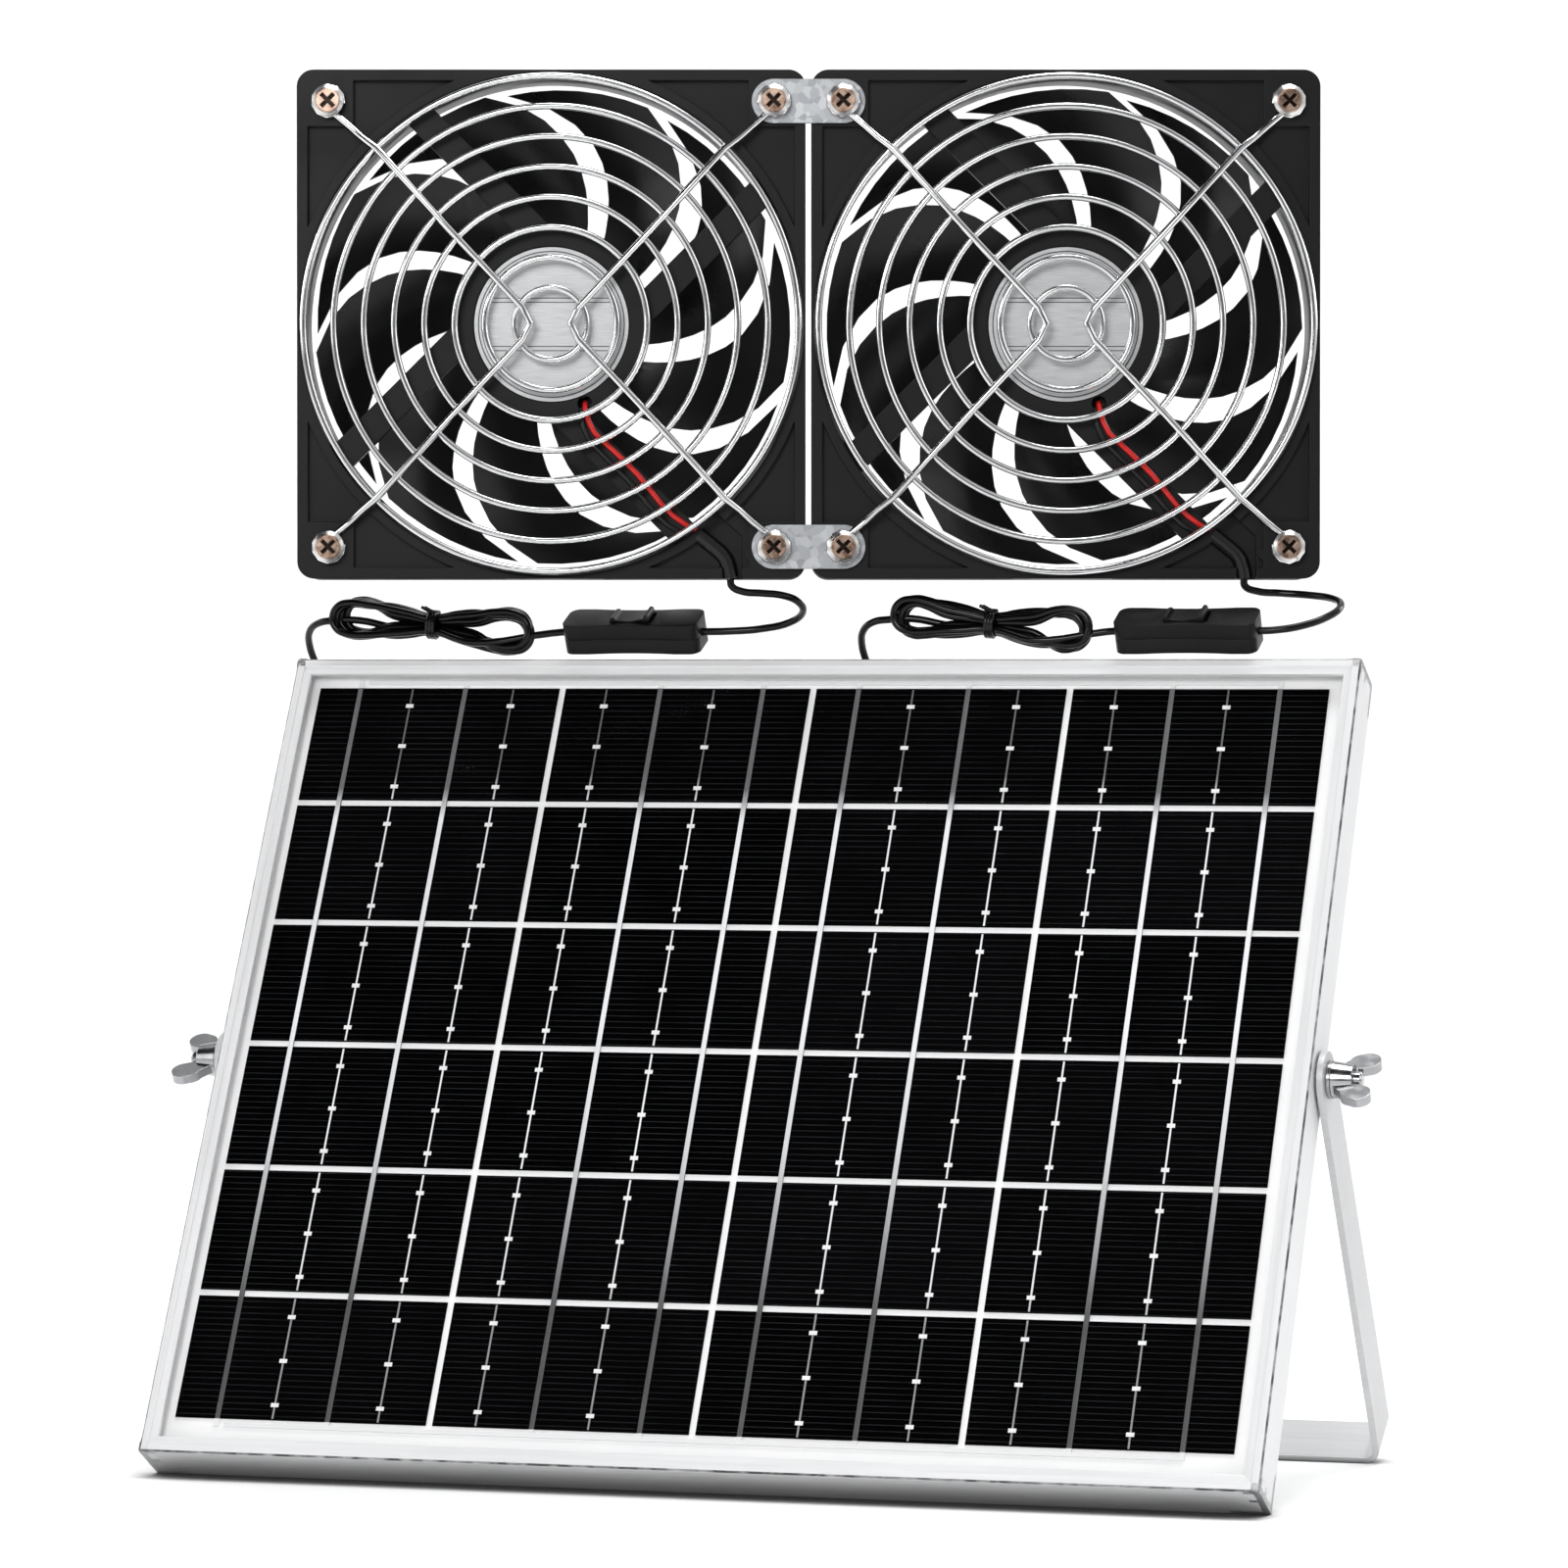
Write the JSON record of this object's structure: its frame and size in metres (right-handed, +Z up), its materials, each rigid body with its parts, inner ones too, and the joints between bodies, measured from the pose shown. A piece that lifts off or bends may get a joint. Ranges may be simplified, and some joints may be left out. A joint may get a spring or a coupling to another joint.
{
  "type": "solar attic fan",
  "caption": "Framed solar panel on a folding stand, wired through inline switches to square axial fans with wire guards.",
  "frame": {"origin": "on the floor, under the middle of the plan of the whole object", "axes": "+X to the right along the fans, +Y from the fans towards what they are fixed to, +Z up; the fans blow towards -Y"},
  "size_m": [0.2902, 0.1966, 0.327],
  "materials": {
    "anodised": "satin",
    "glass": "gloss",
    "cells": "gloss",
    "backsheet": "matte",
    "black_plastic": "matte",
    "steel": "brushed",
    "white_strap": "satin",
    "chrome": "polished",
    "zinc": "satin",
    "bronze_screw": "satin",
    "label": "satin",
    "magnet": "matte",
    "copper": "satin",
    "board": "satin",
    "red_wire": "satin",
    "cord_black": "satin"
  },
  "bodies": {
    "panel": {"rail_top": "anodised", "rail_bottom": "anodised", "rail_left": "anodised", "rail_right": "anodised", "corner_keys": "zinc", "glass_cover": "glass", "solar_cells": "cells", "backsheet": "backsheet", "junction_box": "black_plastic", "junction_lid": "black_plastic", "cable_glands": "black_plastic", "pivot_bolts": "steel", "washers": "steel", "fan_frame_left": "black_plastic", "bearings_left": "steel", "stator_left": "copper", "driver_board_left": "board", "hub_label_left": "label", "finger_guard_left": "chrome", "lead_red_left": "red_wire", "lead_black_left": "cord_black", "lead_sleeve_left": "cord_black", "fan_frame_right": "black_plastic", "bearings_right": "steel", "stator_right": "copper", "driver_board_right": "board", "hub_label_right": "label", "finger_guard_right": "chrome", "lead_red_right": "red_wire", "lead_black_right": "cord_black", "lead_sleeve_right": "cord_black", "joint_plate_top": "zinc", "joint_plate_bottom": "zinc", "fan_screws": "bronze_screw", "switch_base_left": "black_plastic", "switch_cover_left": "black_plastic", "cord_fan_left": "cord_black", "cord_link_left": "cord_black", "hank_left": "cord_black", "hank_tie_left": "cord_black", "cord_panel_left": "cord_black", "switch_base_right": "black_plastic", "switch_cover_right": "black_plastic", "cord_fan_right": "cord_black", "cord_link_right": "cord_black", "hank_right": "cord_black", "hank_tie_right": "cord_black", "cord_panel_right": "cord_black"},
    "stand": {"stand_bracket": "white_strap"},
    "nut_left": {"wing_nut_left": "chrome"},
    "nut_right": {"wing_nut_right": "chrome"},
    "rotor_left": {"impeller_left": "black_plastic", "shaft_left": "steel", "magnet_left": "magnet"},
    "rotor_right": {"impeller_right": "black_plastic", "shaft_right": "steel", "magnet_right": "magnet"},
    "switch_rocker_left": {"rocker_left": "black_plastic"},
    "switch_rocker_right": {"rocker_right": "black_plastic"}
  },
  "joints": [
    {"name": "stand_fold", "type": "hinge", "parent": "panel", "child": "stand", "pos_m": [-0.00166, -0.00291, 0.09297], "axis": [0.9542, -0.299, 0], "range_deg": [-63, 56]},
    {"name": "nut_turn_left", "type": "hinge", "parent": "panel", "child": "nut_left", "pos_m": [-0.13525, 0.03895, 0.09297], "axis": [-0.9542, 0.299, 0], "continuous": true},
    {"name": "nut_turn_right", "type": "hinge", "parent": "panel", "child": "nut_right", "pos_m": [0.13194, -0.04478, 0.09297], "axis": [0.9542, -0.299, 0], "continuous": true},
    {"name": "fan_spin_left", "type": "hinge", "parent": "panel", "child": "rotor_left", "pos_m": [-0.05165, 0.0412, 0.267], "axis": [0, 1, 0], "continuous": true},
    {"name": "fan_spin_right", "type": "hinge", "parent": "panel", "child": "rotor_right", "pos_m": [0.06975, 0.0412, 0.267], "axis": [0, 1, 0], "continuous": true},
    {"name": "switch_left", "type": "hinge", "parent": "panel", "child": "switch_rocker_left", "pos_m": [-0.03262, 0.05346, 0.19632], "axis": [0.271, 0.8648, 0.4226], "range_deg": [0, 8]},
    {"name": "switch_right", "type": "hinge", "parent": "panel", "child": "switch_rocker_right", "pos_m": [0.09754, 0.01267, 0.19632], "axis": [0.271, 0.8648, 0.4226], "range_deg": [0, 8]}
  ]
}
